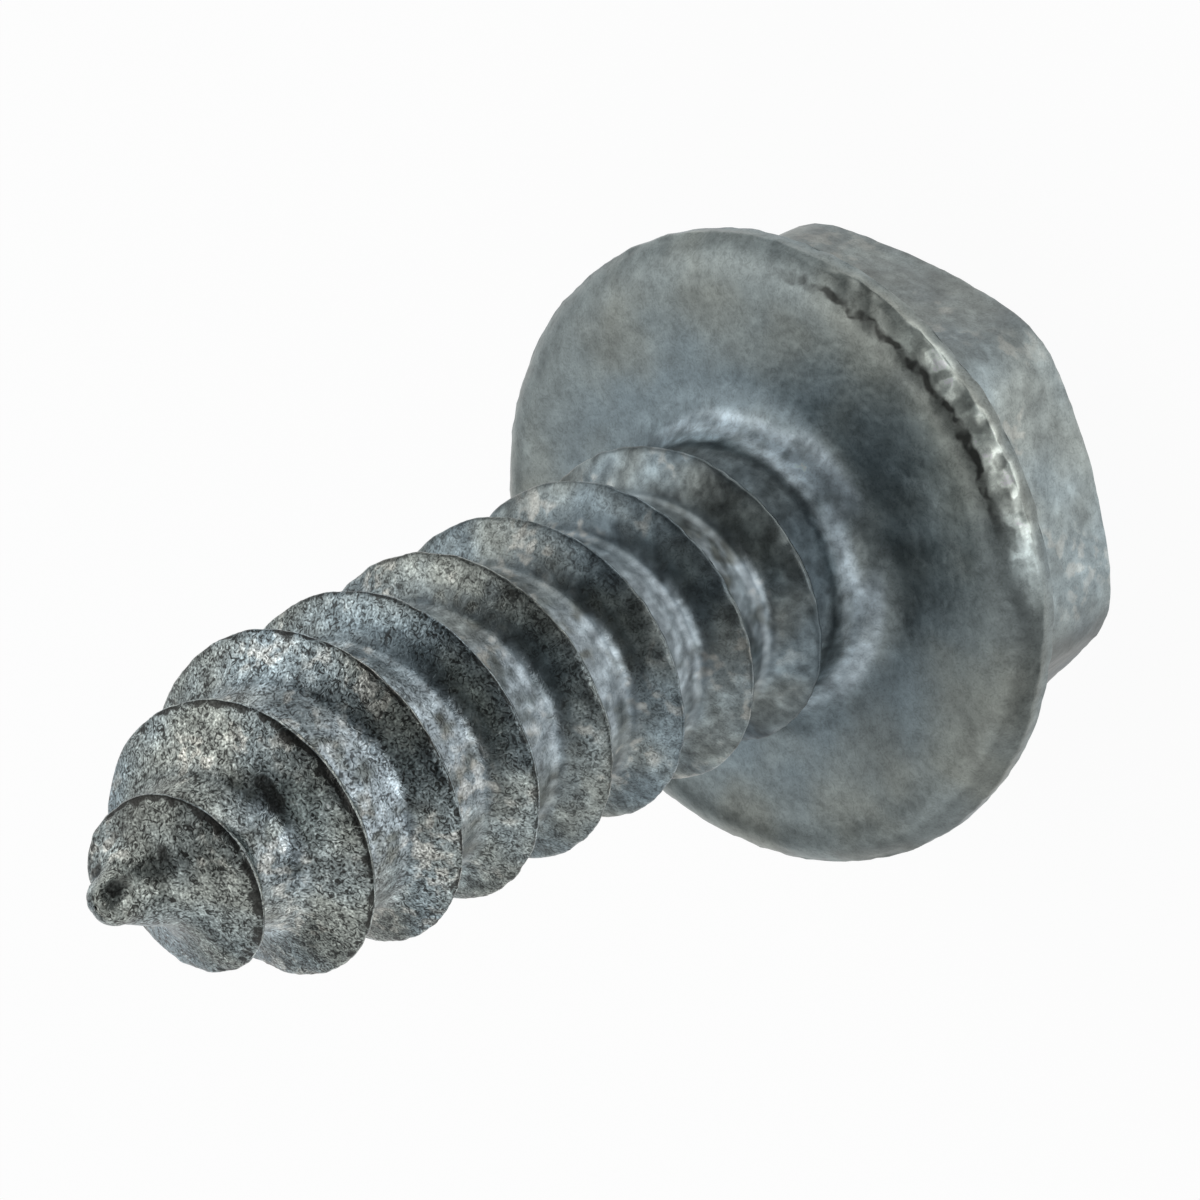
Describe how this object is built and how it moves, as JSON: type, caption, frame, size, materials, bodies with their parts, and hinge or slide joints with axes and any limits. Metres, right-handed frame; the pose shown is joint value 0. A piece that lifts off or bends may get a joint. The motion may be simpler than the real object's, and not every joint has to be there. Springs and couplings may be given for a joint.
{
  "type": "hex washer head screw",
  "caption": "Short tapping screw with a hexagon head, a wide washer face, a coarse right-hand spaced thread and a blunt tapered point.",
  "frame": {"origin": "middle of the head's flat top, on the surface the screw stands on", "axes": "+Z along the shank from the head to the point, X through two opposite corners of the hexagon"},
  "size_m": [0.0098, 0.0098, 0.0178],
  "materials": {
    "zinc_plate": "dull aged zinc plate, mottled"
  },
  "bodies": {
    "root": {"screw": "zinc_plate"}
  },
  "joints": []
}
